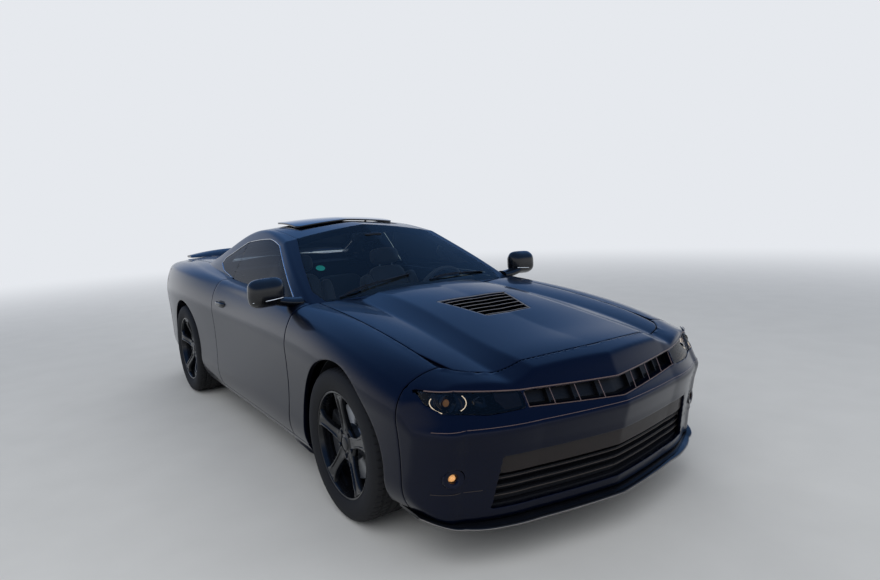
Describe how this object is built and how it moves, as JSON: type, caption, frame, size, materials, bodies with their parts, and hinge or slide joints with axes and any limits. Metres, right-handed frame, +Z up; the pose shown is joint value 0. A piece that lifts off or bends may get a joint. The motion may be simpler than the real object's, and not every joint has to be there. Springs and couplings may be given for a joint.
{
  "type": "muscle car",
  "caption": "Two-door muscle coupe in gloss black with a domed, vented hood, slim grille, raised sunroof panel, opening doors, hood and trunk, and steered wheels.",
  "frame": {"origin": "on the ground, midway between the nose and the tail, on the centre plane", "axes": "+X to the front of the car, +Y to the driver's left, +Z up"},
  "size_m": [4.842, 2.095, 1.4073],
  "materials": {
    "underbody": "matte undercoat",
    "black_plastic": "textured",
    "body_paint": "gloss black-blue clear coat",
    "window_glass": "tinted",
    "lamp_housing": "gloss",
    "tail_lens": "gloss",
    "cast_metal": "raw",
    "steel": "brushed",
    "cabin_trim": "soft",
    "seat_leather": "satin",
    "gloss_black": "gloss",
    "tyre_rubber": "matte",
    "wheel_paint": "satin black"
  },
  "bodies": {
    "car": {"floor_pan": "underbody", "cowl": "black_plastic", "front_structure": "underbody", "rear_structure": "underbody", "body_side_left": "body_paint", "body_side_right": "body_paint", "roof_panel": "body_paint", "sunroof_panel": "window_glass", "front_fender_left": "body_paint", "front_fender_right": "body_paint", "front_bumper": "body_paint", "upper_grille": "black_plastic", "lower_grille": "black_plastic", "headlamp_left": "lamp_housing", "headlamp_right": "lamp_housing", "fog_lamp_left": "lamp_housing", "fog_lamp_right": "lamp_housing", "splitter": "body_paint", "rear_bumper": "body_paint", "tail_lamps": "tail_lens", "windshield": "window_glass", "rear_window": "window_glass", "quarter_glass_left": "window_glass", "quarter_glass_right": "window_glass", "engine": "cast_metal", "exhaust": "steel", "dashboard": "cabin_trim", "steering_wheel": "cabin_trim", "console": "cabin_trim", "front_seat_left": "seat_leather", "front_seat_right": "seat_leather", "rear_seat": "seat_leather", "front_suspension": "cast_metal", "rear_suspension": "cast_metal"},
    "door_left": {"door_left": "body_paint", "door_glass_left": "window_glass", "mirror_left": "gloss_black"},
    "knuckle_left": {"knuckle_left": "cast_metal"},
    "door_right": {"door_right": "body_paint", "door_glass_right": "window_glass", "mirror_right": "gloss_black"},
    "knuckle_right": {"knuckle_right": "cast_metal"},
    "hood": {"hood": "body_paint", "hood_vent": "body_paint"},
    "trunk_lid": {"trunk_lid": "body_paint", "spoiler": "body_paint"},
    "wheel_front_left": {"tyre_front_left": "tyre_rubber", "wheel_front_left": "wheel_paint"},
    "wheel_front_right": {"tyre_front_right": "tyre_rubber", "wheel_front_right": "wheel_paint"},
    "wheel_rear_left": {"tyre_rear_left": "tyre_rubber", "wheel_rear_left": "wheel_paint"},
    "wheel_rear_right": {"tyre_rear_right": "tyre_rubber", "wheel_rear_right": "wheel_paint"}
  },
  "joints": [
    {"name": "steer_left", "type": "hinge", "parent": "car", "child": "knuckle_left", "pos_m": [1.48, 0.765, 0.364], "axis": [0, 0, 1], "range_deg": [-32, 32]},
    {"name": "steer_right", "type": "hinge", "parent": "car", "child": "knuckle_right", "pos_m": [1.48, -0.765, 0.364], "axis": [0, 0, 1], "range_deg": [-32, 32]},
    {"name": "spin_front_left", "type": "hinge", "parent": "knuckle_left", "child": "wheel_front_left", "pos_m": [1.48, 0.809, 0.364], "axis": [0, 1, 0], "continuous": true},
    {"name": "spin_front_right", "type": "hinge", "parent": "knuckle_right", "child": "wheel_front_right", "pos_m": [1.48, -0.809, 0.364], "axis": [0, 1, 0], "continuous": true},
    {"name": "spin_rear_left", "type": "hinge", "parent": "car", "child": "wheel_rear_left", "pos_m": [-1.372, 0.809, 0.364], "axis": [0, 1, 0], "continuous": true},
    {"name": "spin_rear_right", "type": "hinge", "parent": "car", "child": "wheel_rear_right", "pos_m": [-1.372, -0.809, 0.364], "axis": [0, 1, 0], "continuous": true},
    {"name": "door_left", "type": "hinge", "parent": "car", "child": "door_left", "pos_m": [0.82, 0.905, 0.58], "axis": [0, 0, -1], "range_deg": [0, 65]},
    {"name": "door_right", "type": "hinge", "parent": "car", "child": "door_right", "pos_m": [0.82, -0.905, 0.58], "axis": [0, 0, 1], "range_deg": [0, 65]},
    {"name": "hood_hinge", "type": "hinge", "parent": "car", "child": "hood", "pos_m": [0.877, 0, 0.932], "axis": [0, -1, 0], "range_deg": [0, 45]},
    {"name": "trunk_hinge", "type": "hinge", "parent": "car", "child": "trunk_lid", "pos_m": [-1.61, 0, 1.049], "axis": [0, 1, 0], "range_deg": [0, 65]}
  ],
  "couplings": [
    {"joint": "steer_right", "follows": "steer_left", "ratio": 1}
  ]
}
